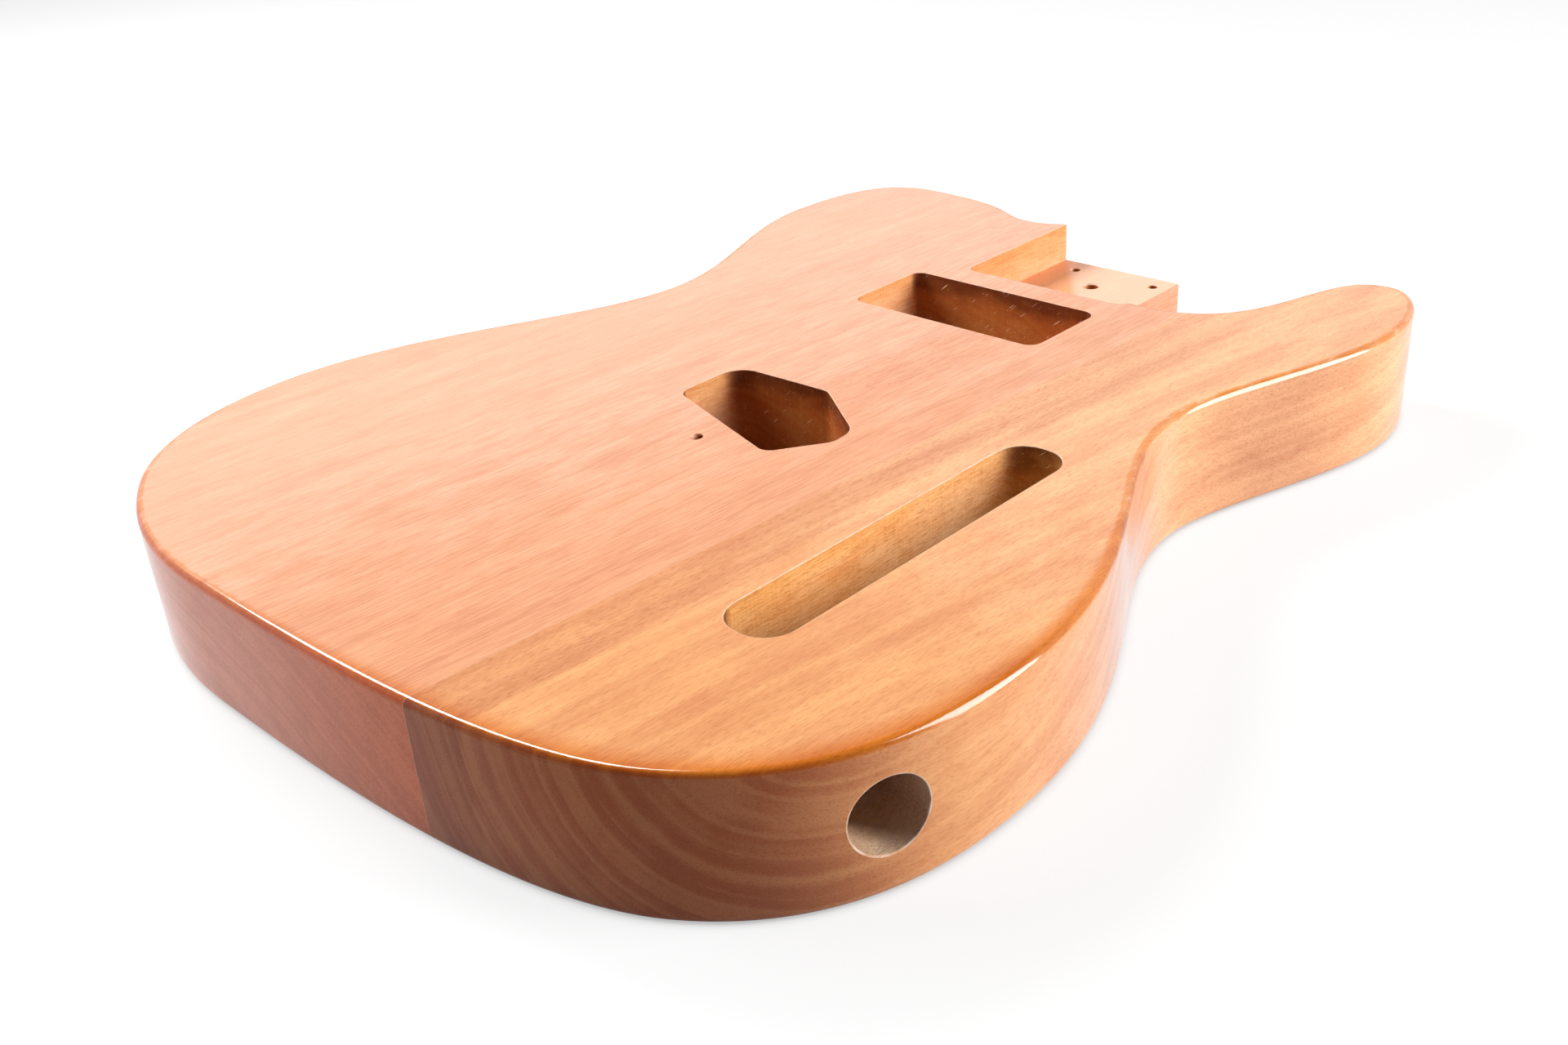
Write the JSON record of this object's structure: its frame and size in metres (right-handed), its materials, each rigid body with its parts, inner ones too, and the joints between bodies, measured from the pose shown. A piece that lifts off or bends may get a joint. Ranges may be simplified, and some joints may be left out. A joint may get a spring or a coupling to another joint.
{
  "type": "electric guitar body",
  "caption": "Solid single-cutaway guitar body of glued boards, routed for a bolted neck, two pickups, a control plate and an edge jack.",
  "frame": {"origin": "on the flat back, in the middle of the body's length and width", "axes": "+X along the strings towards the neck, +Y towards the bass side, +Z out of the top face"},
  "size_m": [0.408, 0.324, 0.044],
  "materials": {
    "bass_board": "clear gloss lacquer over pinkish straight-grained hardwood",
    "treble_board": "clear gloss lacquer over tan ribbon-grained hardwood",
    "glue": "cured yellow wood glue"
  },
  "bodies": {
    "root": {"bass_side_board": "bass_board", "treble_side_board": "treble_board", "glue_line": "glue"}
  },
  "joints": []
}
